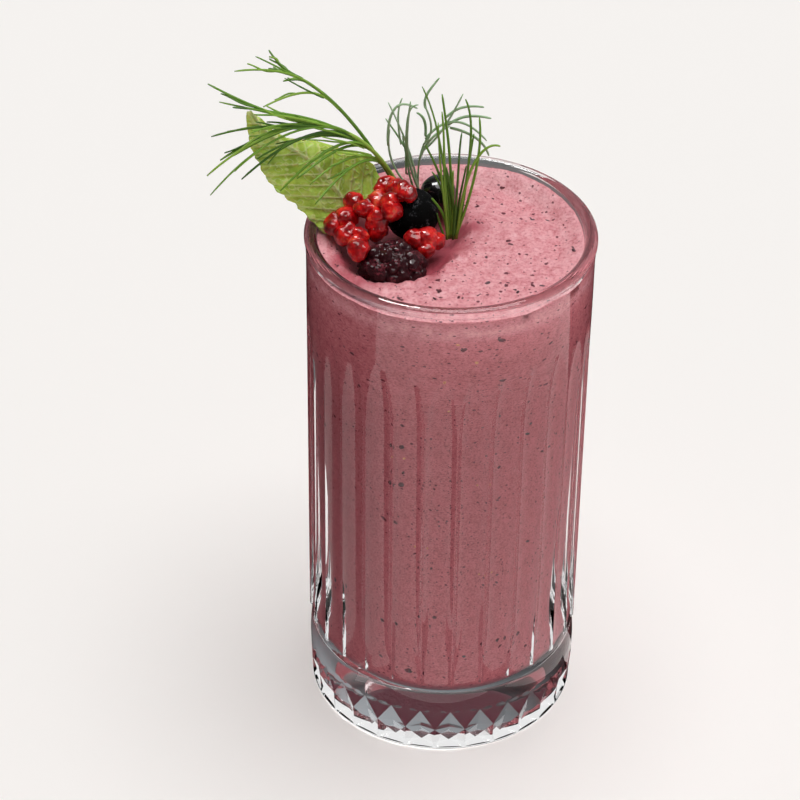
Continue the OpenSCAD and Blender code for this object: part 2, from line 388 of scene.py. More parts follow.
def laid_out(outline, height):
    """Corners of a flat outline at a height."""
    return [(x, y, height) for x, y in outline]


WINDOW_X, WINDOW_Y, WINDOW_Z = -440, 250, 1400
WINDOW_HALF_X, WINDOW_HALF_Y, WINDOW_TILT = 260, 190, 0.3
black_outline = [(0, 0), (-2460, -1710), (-3000, 0), (-3000, 3000), (0, 3000), (3000, 3000), (2900, 780)]
grey_outline = [(-900, -100), (-150, -100), (-150, 140), (600, 140), (600, 1200), (-900, 1200)]
window = [(WINDOW_X + x * WINDOW_HALF_X, WINDOW_Y + y * WINDOW_HALF_Y,
           WINDOW_Z + x * WINDOW_TILT * WINDOW_HALF_X) for x, y in floor_corners]
card("dark_floor", laid_out(black_outline, 0.3), 0.0, [[0, 4, 3, 2, 1], [0, 6, 5, 4]])
card("key_window", window, 22.0)
card("dark_foreground", laid_out([(x * 50, y * 33 - 33) for x, y in floor_corners], 0.3), 0.0)
card("grey_floor", laid_out(grey_outline, 0.2), 0.16, through=True)
card("light_table", laid_out([(x * 45, y * 45) for x, y in floor_corners], 0.05), 0.85, through=True)
print("cards ready")

# %% [markdown]
# ## Clear glass
# The shader bends light as glass does, and a number stored on the mesh paints shade on the inside of the lip,
# in grey.
# Shadow rays pass straight through, so that the drink inside is lit.

# %% Glass material
glass_material, tree, output = new_material("clear_glass")
# Painted shade: a stored number darkens the inside of the lip to grey.
lip_painted_shade = ramp(tree, stored(tree, "lip"), (0.0, (1, 1, 1)), (1.0, (0.09, 0.105, 0.125)))
glass_shader = principled(tree, output, Base_Color=lip_painted_shade, Roughness=0.0, IOR=1.51,
                          Transmission_Weight=1.0)
see_through = tree.nodes.new("ShaderNodeBsdfTransparent")
light_path = tree.nodes.new("ShaderNodeLightPath")
shadow_mix = tree.nodes.new("ShaderNodeMixShader")
tree.links.new(light_path.outputs["Is Shadow Ray"], shadow_mix.inputs["Fac"])
tree.links.new(glass_shader.outputs["BSDF"], shadow_mix.inputs[1])
tree.links.new(see_through.outputs["BSDF"], shadow_mix.inputs[2])
tree.links.new(shadow_mix.outputs["Shader"], output.inputs["Surface"])
print("clear glass ready")

# %% [markdown]
# ### The glass's outside
# The foot is a band of flat diamonds, so its rows follow the diamonds' own edges: in every half cell the
# left columns fill the diamond and the right ones the triangle beside it, and their shares trade places
# from row to row. The wall above is scooped by flutes. Each flute is the surface of a long round rod with
# rounded ends pressed into the wall, and the wall is whichever surface lies further in.

# %% Columns of a half cell
HALF_COLS = 10
DIAMOND_COLS = HALF_COLS // 2
column = np.arange(HALF_COLS + 1) / HALF_COLS  # 0 at a ridge, 1 at a flute's middle
even_share = column ** 1.35  # closer together near a ridge


def around_glass(half_radius, half_angle, z):
    """All columns round the glass from one half cell: mirrored about the ridge, then repeated."""
    radius = np.concatenate([half_radius, half_radius[-2:0:-1]])
    angle = np.concatenate([half_angle, 2 * HALF_PITCH - half_angle[-2:0:-1]])
    ridges = FIRST_RIDGE + 2 * HALF_PITCH * np.arange(FLUTES)
    angles = (ridges[:, None] + angle[None, :]).ravel()
    return around(np.tile(radius, FLUTES), angles, z)


# %% Foot of diamonds
CREASE_Z = 8.2
DIAMOND_LOW, DIAMOND_HIGH = 1.5, 15.0
CREASE_R = FOOT_R - 1.45  # a diamond's middle
BOTTOM_R = FOOT_R - 3.6  # its lower tip
SIDE_BOTTOM_R = FOOT_R - 0.5  # lower corner of the triangle beside it
FACET_SHARES = (0.02, 0.25, 0.5, 0.75, 0.98)


def cell_point(radius, angle):
    """A corner in the cell's own flat coordinates."""
    return np.array([radius * math.cos(angle), radius * math.sin(angle)])


def facet_row(left, middle, side):
    """Points from a diamond's centre line to its edge, and on to the middle of the triangle beside it."""
    share = np.linspace(0, 1, DIAMOND_COLS + 1)[:, None]
    flat = np.vstack([left + (middle - left) * share, middle + (side - middle) * share[1:]])
    return np.hypot(flat[:, 0], flat[:, 1]), np.arctan2(flat[:, 1], flat[:, 0])


def foot_rows():
    """Rows up the diamonds: triangles meet at the crease, and their edges run along grid columns."""
    apex = cell_point(FOOT_R, 0)
    crease = cell_point(CREASE_R, 0)
    base = cell_point(BOTTOM_R, 0)
    corner = cell_point(FOOT_R, HALF_PITCH)
    side_base = cell_point(SIDE_BOTTOM_R, HALF_PITCH)
    rows = []
    for h in FACET_SHARES:
        ends = base + (crease - base) * h, base + (corner - base) * h, side_base + (corner - side_base) * h
        rows.append((*facet_row(*ends), DIAMOND_LOW + (CREASE_Z - DIAMOND_LOW) * h))
    for h in FACET_SHARES:
        ends = crease + (apex - crease) * h, corner + (apex - corner) * h, corner
        rows.append((*facet_row(*ends), CREASE_Z + (DIAMOND_HIGH - CREASE_Z) * h))
    return rows


print(f"foot of {FLUTES} diamonds, creased {FOOT_R - CREASE_R:.2f} deep")

# %% Wall of flutes
FLUTE_LOW, FLUTE_HIGH = 24.3, 134.0
FLUTE_DEPTH = 2.2
FLUTE_R = ((WAIST_R * math.sin(HALF_PITCH)) ** 2 + FLUTE_DEPTH ** 2) / (2 * FLUTE_DEPTH)
RIDGE_OUT = 0.6  # how far a ridge stands out of the band
HIGH_END = 24.0  # length of a flute's rounded top
NOSE = 1.2  # length of a ridge's rounded lower end
RUN_IN = 16.0  # height over which a flute deepens from the band


def wall_radius(z):
    """Straight taper of the ridges from the waist to the lip."""
    rise = (z - DIAMOND_HIGH) / (GLASS_H - DIAMOND_HIGH)
    return WAIST_R + RIDGE_OUT + (RIM_R - 0.5 - RIDGE_OUT - WAIST_R) * rise


def fluted_radius(angle, z):
    """Wall radius, or the rod's near side where that lies further in; ridges end in a nose on the band."""
    wall = wall_radius(z)
    rod = FLUTE_R * math.sqrt(max(1 - (max(z - FLUTE_HIGH + HIGH_END, 0) / HIGH_END) ** 2, 0))
    middle = wall + FLUTE_R - FLUTE_DEPTH
    off = HALF_PITCH - angle
    inside = rod ** 2 - (middle * np.sin(off)) ** 2
    scoop = np.where(inside > 0, middle * np.cos(off) - np.sqrt(np.maximum(inside, 0)), wall + 1)
    radius = (wall + scoop - np.sqrt((wall - scoop) ** 2 + 0.03)) / 2
    nose = math.sqrt(max(1 - max((FLUTE_LOW + NOSE - z) / NOSE, 0) ** 2, 0))
    run_in = smoothstep(FLUTE_LOW, FLUTE_LOW + RUN_IN, z)
    return WAIST_R + (radius - WAIST_R) * np.where(radius > WAIST_R, nose, run_in)


def wall_rows():
    """Rows from the band above the foot to under the lip, close together where the flutes end."""
    nose_top = FLUTE_LOW + NOSE
    low = [*(FLUTE_LOW + NOSE * np.linspace(0, 1, 7) ** 2), *(nose_top + np.array([2, 4, 7, 10, 14]))]
    middle = np.linspace(nose_top + 18, FLUTE_HIGH - HIGH_END, 10)[:-1]
    high = np.linspace(FLUTE_HIGH - HIGH_END, FLUTE_HIGH + 1, 22)
    angle = even_share * HALF_PITCH
    return [(fluted_radius(angle, z), angle, z) for z in [*low, *middle, *high, 140.0, GLASS_H - 7]]


print(f"wall of {len(wall_rows())} rows, flutes {FLUTE_DEPTH} deep")

# %% [markdown]
# ### The glass's outline
# One outline goes from the hollow underside, by the foot, the shoulder and the wall, over the round lip and
# down the inside to the floor. All its rows have the same number of columns, so the whole glass is one
# grid. Near the floor the inside is drawn in, and thick clear glass shows at the sides.

# %% Outline of the rest


def arc(centre_r, centre_z, radius, start, end, steps):
    """Radius and height along an arc; angles in degrees from straight out, turning upwards."""
    turn = np.radians(np.linspace(start, end, steps))
    return centre_r + radius * np.cos(turn), centre_z + radius * np.sin(turn)


DRAWN_IN = 2.0  # how far the inside is drawn in at the floor
DRAWN_Z = 90.0  # height where that starts
RECESS = 2.2  # depth of the hollow underside
SHOULDER_Z = 21.4  # the band above the diamonds rounds inwards up to here
SHOULDER_IN = 0.5


def cavity_radius(z):
    """Straight taper of the inside from the floor to the lip, drawn in further near the floor."""
    taper = FLOOR_R + (INNER_RIM_R - FLOOR_R) * (z - FLOOR_Z) / (GLASS_H - FLOOR_Z)
    return taper - DRAWN_IN * (max(DRAWN_Z - z, 0) / (DRAWN_Z - FLOOR_Z)) ** 2


def plain_row(radius, z):
    """A round row of even columns."""
    return radius + 0 * column, even_share * HALF_PITCH, z


def shoulder_radius(z):
    """Radius of the band, falling with the square of the height above the diamonds."""
    return FOOT_R - SHOULDER_IN * ((z - DIAMOND_HIGH) / (SHOULDER_Z - DIAMOND_HIGH)) ** 2


shoulder = [(shoulder_radius(z), z) for z in np.linspace(DIAMOND_HIGH + 0.2, SHOULDER_Z, 9)]
shoulder += [(WAIST_R - 0.17, SHOULDER_Z + 0.5), (WAIST_R, SHOULDER_Z + 1.3)]
lip_out = list(zip(*arc(RIM_R - LIP_R, GLASS_H - LIP_R, LIP_R, -35, 90, 10)))
lip_in = list(zip(*arc(RIM_R - LIP_R, GLASS_H - LIP_R, LIP_R, 90, 180, 8)))[1:]
FILLET_Z = FLOOR_Z + FLOOR_ROUND
inner_wall = [(cavity_radius(z), z) for z in [LEVEL + 1.5, *np.linspace(LEVEL, FILLET_Z, 12)]]
fillet = list(zip(*arc(cavity_radius(FILLET_Z) - FLOOR_ROUND, FILLET_Z, FLOOR_ROUND, 0, -90, 9)))[1:]
underside = [(28.0, RECESS), (29.0, 0.8 * RECESS), (31.0, 0.0), (36.0, 0.0), (36.9, 0.25), (37.3, 0.8),
             (37.3, 1.2)]
rows = [plain_row(r, z) for r, z in underside]
rows += foot_rows()
rows += [plain_row(r, z) for r, z in shoulder]
rows += wall_rows()
rows += [plain_row(r, z) for r, z in lip_out + lip_in + inner_wall + fillet + [(15.0, FLOOR_Z)]]
glass_grid = np.array([around_glass(*row) for row in rows])
points, faces = closed_grid(glass_grid)
glass_piece = add_piece("glass_body", points, faces, glass_material, "clear_glass", ["glass"], sharp_deg=13)

# The inner face of the lip above the drink carries painted shade, darkest towards -x and less at the far +x
# end.
inside_lip = 1 - smoothstep(RIM_R - 1.7, RIM_R - 0.7, np.hypot(points[:, 0], points[:, 1]))
above_drink = smoothstep(LEVEL, LEVEL + 1.4, points[:, 2])
to_left = -points[:, 0] / RIM_R
one_sided = np.clip(smoothstep(0.0, 0.6, to_left) + 0.55 * smoothstep(0.5, 0.95, -to_left), 0, 1)
store(glass_piece, "lip", inside_lip * above_drink * one_sided)

# %% [markdown]
# ## The drink
# The smoothie is one closed body: its side reaches just into the glass wall, so no air gap shows, and its
# top is a disc of rings with a real relief: a hollow round the berries, soft swells and fine foam.

# %% Surface of the drink
HOLLOW_X, HOLLOW_Y = -13.0, 3.0  # middle of the hollow that the berries have sunk into
HOLLOW_LONG, HOLLOW_SHORT = 23.0, 17.0
HOLLOW_TURN = math.radians(17)  # how far its long axis leans from Y towards X
HOLLOW_DEPTH = 4.6
CLING = 3.3  # how far foam climbs the glass at the back
OVERLAP = 0.12  # how far the drink reaches into the glass


def hollow_reach(x, y):
    """0 in the middle of the hollow and 1 on its edge."""
    x, y = x - HOLLOW_X, y - HOLLOW_Y
    along = x * math.sin(HOLLOW_TURN) + y * math.cos(HOLLOW_TURN)
    across = x * math.cos(HOLLOW_TURN) - y * math.sin(HOLLOW_TURN)
    return np.hypot(along / HOLLOW_LONG, across / HOLLOW_SHORT)


def surface_height(x, y):
    """Crown towards the middle, less the berries' hollow, with soft swells and fine foam relief."""
    reach = hollow_reach(x, y) + 0.04 * lattice_noise(x, y, 2, 5.0, 2)
    hollow = HOLLOW_DEPTH * (1 - smoothstep(0.7, 1.04, reach))
    out = np.hypot(x, y) / INNER_RIM_R
    crown = CROWN * (1 - out ** 2)
    swell = 0.5 * lattice_noise(x, y, 0, 9.0, 3) + 0.26 * lattice_noise(x, y, 5, 3.2, 4)
    wrinkle = 0.5 * np.exp(-((reach - 1.0) / 0.16) ** 2) * lattice_noise(1.2 * x, 0.5 * y, 7, 1.4, 6)
    foam = 0.1 * lattice_noise(x, y, 9, 0.8, 5)
    cling = CLING * smoothstep(0.8, 1.0, out) * smoothstep(-0.6, 0.7, y / INNER_RIM_R)
    return LEVEL + crown - hollow + swell + wrinkle + foam + cling


TOP_RINGS, TOP_COLS = 130, 420
angles = np.linspace(0, 2 * math.pi, TOP_COLS, endpoint=False)
side_z = np.linspace(FLOOR_Z + FLOOR_ROUND, LEVEL - 0.3, 40)
drink_side = [(cavity_radius(z) + OVERLAP, z) for z in side_z]
drink_fillet = [(r + OVERLAP * 0.7, z - OVERLAP * 0.7) for r, z in fillet[::-1]]
edge_r = cavity_radius(LEVEL) + OVERLAP
grid_rows = [around(10.0 + 0 * angles, angles, FLOOR_Z - OVERLAP)]
grid_rows += [around(r + 0 * angles, angles, z) for r, z in drink_fillet + drink_side]
for share in np.linspace(1, 0.1, TOP_RINGS) ** 0.8:
    ring = around(edge_r * share + 0 * angles, angles, 0.0)
    ring[:, 2] = surface_height(ring[:, 0], ring[:, 1])
    grid_rows.append(ring)
drink_points, drink_faces = closed_grid(np.array(grid_rows))
print(f"drink surface: {TOP_RINGS} rings of {TOP_COLS} points")

# %% [markdown]
# ### Foam, painted shade and specks
# Air makes the top pale, and the drink is redder against the glass. Numbers stored on the mesh blend these
# and
# paint shade into the colour: darker round the berries in their hollow, towards one side and underneath.
# Three sizes of specks are the hearts of a few Voronoi cells, roughened by noise.

# %% Speck masks


def arithmetic(tree, operation, first, second):
    """Maths node of two inputs, each a socket or a number."""
    node = tree.nodes.new("ShaderNodeMath")
    node.operation = operation
    for socket, value in zip(node.inputs, (first, second)):
        join(tree, value, socket)
    return node.outputs[0]


def specks(tree, vector, spacing_mm, size, share):
    """Mask of specks in a share of Voronoi cells spacing_mm apart; size is a speck's share of its cell."""
    cells = tree.nodes.new("ShaderNodeTexVoronoi")
    cells.inputs["Scale"].default_value = 1 / (spacing_mm * MM)
    tree.links.new(vector, cells.inputs["Vector"])
    rough = noise(tree, vector, spacing_mm * 0.16, 2.0)
    edge = arithmetic(tree, "MULTIPLY_ADD", rough, size * 0.9)
    edge.node.inputs[2].default_value = size * 0.5
    near = arithmetic(tree, "LESS_THAN", cells.outputs["Distance"], edge)
    lot = tree.nodes.new("ShaderNodeSeparateColor")
    tree.links.new(cells.outputs["Color"], lot.inputs["Color"])
    picked = arithmetic(tree, "LESS_THAN", lot.outputs["Red"], share)
    return arithmetic(tree, "MULTIPLY", near, picked)


# %% Drink material
SPECK_COLOUR = (0.16, 0.026, 0.042)
# Painted shade in the hollow round the berries.
HOLLOW_SHADE_COLOUR = (0.46, 0.075, 0.105)  # round the berries
# Painted shade towards one side.
SIDE_SHADE_COLOUR = (0.26, 0.045, 0.06)  # towards one side
# Painted shade on the underside.
UNDERSIDE_SHADE_COLOUR = (0.16, 0.018, 0.04)  # the underside, seen through the foot
drink_material, tree, output = new_material("smoothie")
coords = object_coords(tree)
flat_coords = object_coords(tree, (1, 1, 1.8))
cloud = noise(tree, coords, 3.0, 4.0, 0.6)
grain = noise(tree, flat_coords, 0.8, 4.0, 0.7)
top_base = ramp(tree, cloud, (0.38, (0.6, 0.17, 0.2)), (0.5, (0.78, 0.31, 0.34)),
                (0.62, (0.86, 0.42, 0.45)))
top_grain = ramp(tree, grain, (0.34, (0.46, 0.09, 0.12)), (0.5, (0.82, 0.34, 0.37)),
                 (0.66, (0.92, 0.52, 0.55)))
wall_base = ramp(tree, cloud, (0.36, (0.5, 0.115, 0.14)), (0.62, (0.64, 0.175, 0.205)))
wall_grain = ramp(tree, grain, (0.36, (0.3, 0.05, 0.07)), (0.47, (0.68, 0.175, 0.205)),
                  (0.66, (0.84, 0.3, 0.33)))
top_colour = mix_colour(tree, 0.5, top_base, top_grain)
wall_colour = mix_colour(tree, 0.5, wall_base, wall_grain)
colour = mix_colour(tree, stored(tree, "foam"), wall_colour, top_colour)
for spacing, size, share in ((3.0, 0.15, 0.5), (1.6, 0.17, 0.3), (6.0, 0.1, 0.6)):
    colour = mix_colour(tree, specks(tree, flat_coords, spacing, size, share), colour, SPECK_COLOUR)
# Painted shade mixed into the colour: in the hollow, towards one side and on the underside.
for name, shade_colour in (("wet", HOLLOW_SHADE_COLOUR), ("side_shade", SIDE_SHADE_COLOUR), ("under", UNDERSIDE_SHADE_COLOUR)):
    colour = mix_colour(tree, stored(tree, name), colour, shade_colour)
drink_shader = principled(tree, output, Base_Color=colour, Roughness=0.5, Specular_IOR_Level=0.35)
bump(tree, drink_shader, grain, 0.16, 0.6)
drink = add_piece("drink", drink_points, drink_faces, drink_material, "smoothie", ["smoothie"])

drink_x, drink_y, drink_z = drink_points.T
on_top = (drink_z > LEVEL - 6) & (np.hypot(drink_x, drink_y) / edge_r < 0.999)
from_hollow = hollow_reach(drink_x, drink_y)
patchy = 0.25 * lattice_noise(drink_x, drink_y, 0, 4.0, 12)
foam_on_side = 0.25 * smoothstep(LEVEL - 22, LEVEL, drink_z)
# Painted shade on the side towards -x, weaker towards the top.
side_shade_mask = 0.6 * smoothstep(2, 34, -drink_x) * (1 - 0.75 * smoothstep(LEVEL - 45, LEVEL - 12, drink_z))
# Foam falls away in the berries' hollow and the hollow shade rises there; both paint shade into the hollow.
store(drink, "foam", np.where(on_top, smoothstep(0.5, 1.05, from_hollow), foam_on_side))
store(drink, "wet", np.where(on_top, 0.95 * (1 - smoothstep(0.8, 1.25, from_hollow + patchy)), 0))
store(drink, "side_shade", np.where(on_top, 0, side_shade_mask))
# Painted shade on the underside, just above the floor.
store(drink, "under", 1 - smoothstep(FLOOR_Z + 0.3, FLOOR_Z + 3.0, drink_z))

# %% [markdown]
# ## Skin flakes and seeds
# Bits of berry skin lie in the foam and against the glass. One small flattened blob is copied many times,
# each with its own length, turn and place. On the side a flake lies in the plane of the wall.

# %% Flakes


def ball_directions(rows, cols):
    """Unit directions from the bottom pole to the top, without the poles."""
    polar = np.linspace(-math.pi / 2, math.pi / 2, rows + 2)[1:-1, None]
    turn = np.linspace(0, 2 * math.pi, cols, endpoint=False)[None, :]
    flat_x, flat_y = np.cos(polar) * np.cos(turn), np.cos(polar) * np.sin(turn)
    return np.stack([flat_x, flat_y, np.sin(polar) + 0 * turn], axis=-1)


def scattered(places, frames, sizes, rng):
    """Copies of a rough little ball at places, each with its own three axes and half sizes along them."""
    ball, faces = closed_grid(ball_directions(4, 7))
    faces = [np.array(face) for face in faces]
    dents = 1 + rng.uniform(-0.35, 0.35, (len(places), len(ball), 1))
    local = ball[None] * dents * sizes[:, None]
    points = places[:, None] + np.einsum("npk,nkj->npj", local, frames)
    copies = [(face + k * len(ball)).tolist() for k in range(len(places)) for face in faces]
    return points.reshape(-1, 3), copies


def turned_pair(first, second, turn):
    """Two axes at right angles, turned together in their plane."""
    return first * np.cos(turn) + second * np.sin(turn), second * np.cos(turn) - first * np.sin(turn)


def flat_frames(normals, rng):
    """For each normal, two turned axes in its plane and the normal itself."""
    level = np.cross([0, 0, 1], normals)
    level = np.where(np.linalg.norm(level, axis=1, keepdims=True) < 0.1, [1.0, 0, 0], level)
    level /= np.linalg.norm(level, axis=1, keepdims=True)
    rise = np.cross(normals, level)
    turn = rng.uniform(-0.5, 0.5, (len(normals), 1))
    return np.stack([*turned_pair(level, rise, turn), normals], axis=1)


def flake_sizes(count, rng, largest):
    """Half sizes of flakes: the fourth power keeps most of them small, and they are longer than wide."""
    length = 0.18 + largest * rng.uniform(0, 1, count) ** 4
    return np.stack([length, length * rng.uniform(0.3, 0.7, count), 0.1 + 0 * length], axis=1)


# %% Flakes on the drink
COUNT_TOP, COUNT_SIDE = 260, 420
LARGEST_TOP, LARGEST_SIDE = 0.85, 1.2
rng = np.random.default_rng(71)
spread_r = (INNER_RIM_R - 1) * np.sqrt(rng.uniform(0, 1, COUNT_TOP))
spread_a = rng.uniform(0, 2 * math.pi, COUNT_TOP)
x, y = spread_r * np.cos(spread_a), spread_r * np.sin(spread_a)
top_places = np.stack([x, y, surface_height(x, y)], axis=1)
top_frames = flat_frames(np.tile([0.0, 0.05, 1.0], (COUNT_TOP, 1)), rng)
any_turn = rng.uniform(0, math.pi, COUNT_TOP)[:, None]
top_frames[:, 0], top_frames[:, 1] = turned_pair(top_frames[:, 0], top_frames[:, 1], any_turn)
side_a = rng.uniform(0, 2 * math.pi, COUNT_SIDE)
side_h = rng.uniform(FLOOR_Z + 6, LEVEL - 1, COUNT_SIDE)
side_r = np.array([cavity_radius(z) for z in side_h]) + OVERLAP
side_places = around(side_r, side_a, side_h)
side_frames = flat_frames(around(np.ones(COUNT_SIDE), side_a, 0.0), rng)

flake_skin, tree, output = new_material("berry_skin")
flake_colour = ramp(tree, noise(tree, object_coords(tree), 9.0, 1.0), (0.35, (0.05, 0.012, 0.018)),
                    (0.5, (0.15, 0.022, 0.035)), (0.65, (0.12, 0.07, 0.08)))
principled(tree, output, Base_Color=flake_colour, Roughness=0.5, Specular_IOR_Level=0.3)
places = np.concatenate([top_places, side_places])
frames = np.concatenate([top_frames, side_frames])
sizes = [flake_sizes(COUNT_TOP, rng, LARGEST_TOP), flake_sizes(COUNT_SIDE, rng, LARGEST_SIDE)]
add_piece("skin_flakes", *scattered(places, frames, np.concatenate(sizes), rng), flake_skin, "bramble")

# %% Seeds against the glass
# Each seed's turn from the front in degrees, and its height.
SEEDS = [(-1, 128), (4, 140), (12, 134), (2, 118), (-20, 100), (16, 92), (-12, 70), (22, 60)]
SEED_HALF = [0.55, 0.38, 0.15]
seed_skin, tree, output = new_material("seed")
seed_tone = noise(tree, object_coords(tree), 1.0)
seed_colour = ramp(tree, seed_tone, (0.35, (0.62, 0.24, 0.1)), (0.65, (0.8, 0.42, 0.2)))
principled(tree, output, Base_Color=seed_colour, Roughness=0.4)
wall_seeds = np.array([(math.radians(a), z) for a, z in SEEDS])
seed_r = np.array([cavity_radius(z) for z in wall_seeds[:, 1]]) + OVERLAP
seed_places = around(seed_r, wall_seeds[:, 0], wall_seeds[:, 1])
seed_frames = flat_frames(around(np.ones(len(wall_seeds)), wall_seeds[:, 0], 0.0), rng)
seed_sizes = np.tile(SEED_HALF, (len(wall_seeds), 1))
add_piece("seeds", *scattered(seed_places, seed_frames, seed_sizes, rng), seed_skin, "smoothie")

# %% [markdown]
# ## Round berries
# Two dark berries: a large matt one with bloom rubbed into pale flecks, and a small glossy one. Each is a
# ball of rows and columns, pushed in and out a little by noise.

# %% Balls


def node_middle(name):
    """Centre and half sizes of a node's box, in millimetres."""
    low, high = node_box(name)
    return (low + high) / 2, (high - low) / 2


def lumpy_ball(centre, half, seed, lump, rows=60, cols=90):
    """Ellipsoid whose radius varies by lump, in shares of the radius."""
    way = ball_directions(rows, cols)
    x, y, z = np.moveaxis(way, -1, 0)
    broad = lattice_noise(x, y, z, 0.55, seed)
    fine = lattice_noise(x, y, z, 0.2, seed + 1)
    swell = 1 + lump * broad + 0.35 * lump * fine
    return closed_grid(centre + way * half * swell[..., None])


def berry_material(name, dark, bloom, fleck_from, roughness, coat, bump_mm):
    """Dark skin with pale flecks where noise is above fleck_from."""
    material, tree, output = new_material(name)
    vector = object_coords(tree)
    fine = noise(tree, vector, 0.5, 4.0, 0.7)
    broad = noise(tree, vector, 3.2, 2.0)
    both = arithmetic(tree, "MULTIPLY", fine, broad)
    colours = ramp(tree, both, (0.0, dark), (fleck_from, dark), (fleck_from + 0.05, bloom))
    shader = principled(tree, output, Base_Color=colours, Roughness=roughness, Coat_Weight=coat,
                        Coat_Roughness=0.05, Specular_IOR_Level=0.06)
    bump(tree, shader, fine, bump_mm)
    return material


matt_skin = berry_material("matt_berry", dark=(0.0015, 0.0015, 0.0015), bloom=(0.07, 0.07, 0.075),
                           fleck_from=0.32, roughness=0.65, coat=0.0, bump_mm=0.35)
gloss_skin = berry_material("gloss_berry", dark=(0.003, 0.0015, 0.002), bloom=(0.01, 0.008, 0.01),
                            fleck_from=0.33, roughness=0.3, coat=1.0, bump_mm=0.03)
for name, node, seed, lump, skin in (("large_berry", "dark_berry_large", 21, 0.02, matt_skin),
                                     ("small_berry", "dark_berry_small", 23, 0.012, gloss_skin)):
    add_piece(name, *lumpy_ball(*node_middle(node), seed, lump), skin, "dark_berry", [node])

# %% [markdown]
# ## Bramble
# Drupelets are spread over an ellipsoid on a spiral that turns by the golden angle, so they lie evenly but
# in no rows. The surface follows whichever drupelet's round head stands highest.

# %% Bramble
DRUPELETS = 64
DRUPELET_R = 2.0
HEAD_RISE = 1.3  # how far a drupelet's head stands out
centre, half = node_middle("bramble_berry")
order = np.arange(DRUPELETS) + 0.5
seed_z = 1 - 2 * order / DRUPELETS
seed_turn = order * math.pi * (3 - math.sqrt(5))
seed_flat = np.sqrt(1 - seed_z ** 2)
seeds = np.stack([seed_z, seed_flat * np.cos(seed_turn), seed_flat * np.sin(seed_turn)], axis=-1) * half
seeds += np.random.default_rng(31).normal(0, 0.8, seeds.shape)
way = ball_directions(150, 220)
shell = way * half
apart = np.linalg.norm(shell[:, :, None, :] - seeds[None, None], axis=-1)
nearest = apart.min(axis=-1)
head = np.sqrt(np.maximum(1 - (nearest / DRUPELET_R) ** 2, 0))
crumb = lattice_noise(*np.moveaxis(shell, -1, 0), 0.8, 33)
bramble_grid = centre + shell * (0.85 + 0.035 * crumb[..., None]) + way * HEAD_RISE * head[..., None]
bramble_skin = berry_material("bramble", dark=(0.035, 0.002, 0.005), bloom=(0.2, 0.03, 0.045),
                              fleck_from=0.3, roughness=0.5, coat=0.5, bump_mm=0.4)
add_piece("bramble", *closed_grid(bramble_grid), bramble_skin, "bramble", ["bramble_berry"])

# %% [markdown]
# ## Raspberry pieces
# Broken clusters of wet drupelets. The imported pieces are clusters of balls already, so each is melted
# together by a fine voxel remesh, relaxed, and swollen unevenly by noise. The last one is relaxed longer,
# which makes it a smoother lump.

# %% Raspberry pieces
raspberry_skin, tree, output = new_material("raspberry")
coords = object_coords(tree)
mottle = noise(tree, coords, 3.0, 3.0, 0.55)
flesh = ramp(tree, mottle, (0.34, (0.2, 0.001, 0.002)), (0.5, (0.48, 0.002, 0.005)),
             (0.6, (0.78, 0.01, 0.01)), (0.7, (0.9, 0.13, 0.06)))
raspberry_shader = principled(tree, output, Base_Color=flesh, Roughness=0.45, Specular_IOR_Level=0.1,
                              Coat_Weight=1.0, Coat_Roughness=0.03, Subsurface_Weight=0.25,
                              Subsurface_Scale=0.0015)
bump(tree, raspberry_shader, noise(tree, coords, 1.1, 2.0), 0.3)


def melted_copy(name, voxel_mm, relax):
    """A node's mesh after a voxel remesh and smoothing: points in millimetres and faces."""
    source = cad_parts[name]
    copy = bpy.data.objects.new("melting", source.data.copy())
    bpy.context.scene.collection.objects.link(copy)
    remesh = copy.modifiers.new("remesh", "REMESH")
    remesh.mode = "VOXEL"
    remesh.voxel_size = voxel_mm * MM
    smooth = copy.modifiers.new("smooth", "SMOOTH")
    smooth.iterations = relax
    mesh = copy.evaluated_get(bpy.context.evaluated_depsgraph_get()).to_mesh()
    points = np.empty(len(mesh.vertices) * 3)
    mesh.vertices.foreach_get("co", points)
    normals = np.empty(len(mesh.vertices) * 3)
    mesh.vertices.foreach_get("normal", normals)
    faces = [list(p.vertices) for p in mesh.polygons]
    bpy.data.objects.remove(copy)
    return points.reshape(-1, 3) / MM, normals.reshape(-1, 3), faces


for number, relax in enumerate((11, 11, 11, 40), start=1):
    name = f"raspberry_piece_{number}"
    points, normals, faces = melted_copy(name, 0.25, relax)
    x, y, z = points.T
    swell = 0.8 + 0.8 * lattice_noise(x, y, z, 1.8, 40) + 0.25 * lattice_noise(x, y, z, 0.8, 41)
    swollen = points + normals * swell[:, None]
    add_piece(name + "_flesh", swollen, faces, raspberry_skin, "raspberry", [name])

# %% [markdown]
# ## Mint leaf
# The leaf is a sheet in its own frame: along its length, across it and off it. Side veins leave the midrib
# at even steps and curve towards the tip. Veins stand up on the side that shows, and the leaf between them
# sinks. The same vein pattern is stored on the mesh, so colour and relief agree.

# %% Leaf
LEAF_BASE = np.array([-31.9, 0.2, LEVEL + 1])
LEAF_ALONG = np.array([-0.523, 0.19, 0.831])
LEAF_ACROSS = np.array([0.671, 0.693, 0.264])
LEAF_OFF = np.cross(LEAF_ACROSS, LEAF_ALONG)  # towards the side that shows
LEAF_LENGTH = 41.0
LEAF_T = 0.45
VEIN_STEP = 4.3
VEIN_HALF, RIB_HALF, NET_HALF = 0.3, 0.55, 0.12
TEETH = 11
LEAF_VEIN_COLOUR = (0.72, 0.8, 0.36)

